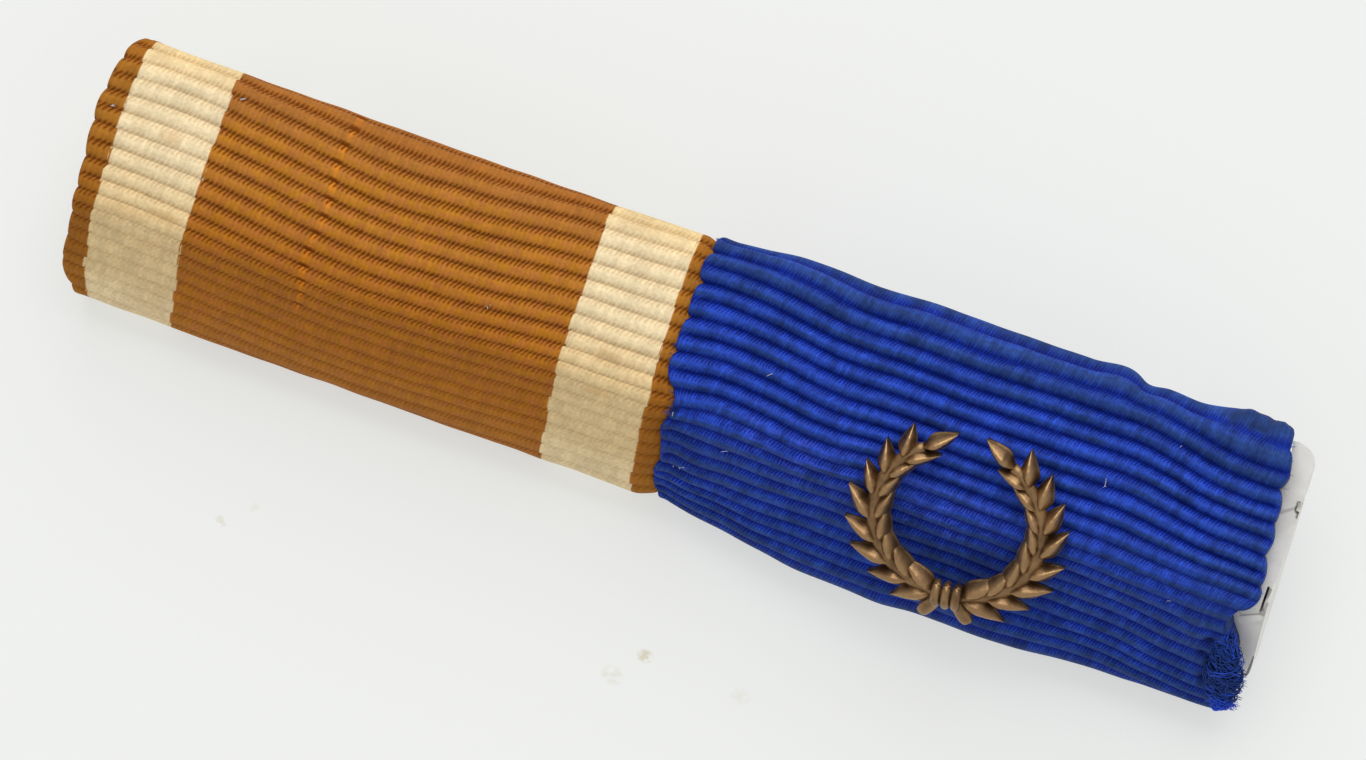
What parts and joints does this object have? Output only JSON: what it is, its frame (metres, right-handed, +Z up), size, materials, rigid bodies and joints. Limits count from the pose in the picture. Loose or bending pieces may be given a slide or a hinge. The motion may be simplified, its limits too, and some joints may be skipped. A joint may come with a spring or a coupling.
{
  "type": "ribbon bar",
  "caption": "Ribbon bar of ribbed cloth ribbons wrapped round a roof-shaped metal plate, with a wreath device on the front and a pin at the back, lying face up and leaning on its pin.",
  "frame": {"origin": "Centre of the bar's bounding box in X and Y, at the level of the surface on which it lies", "axes": "+X along the bar towards the blue ribbon's end, +Y up the bar's face as it is read from the front, +Z up off the surface"},
  "size_m": [0.0602, 0.0147, 0.0102],
  "materials": {
    "plate": "satin, slightly worn",
    "brown_cloth": "ribbed grosgrain weave with two cream stripes",
    "blue_cloth": "ribbed grosgrain weave with a silky sheen",
    "bronze": "dark cast bronze, worn brighter on its ribs",
    "pin_metal": "satin"
  },
  "bodies": {
    "root": {"backing_bar": "plate", "brown_ribbon": "brown_cloth", "blue_ribbon": "blue_cloth", "device": "bronze", "fastening_pin": "pin_metal"}
  },
  "joints": []
}
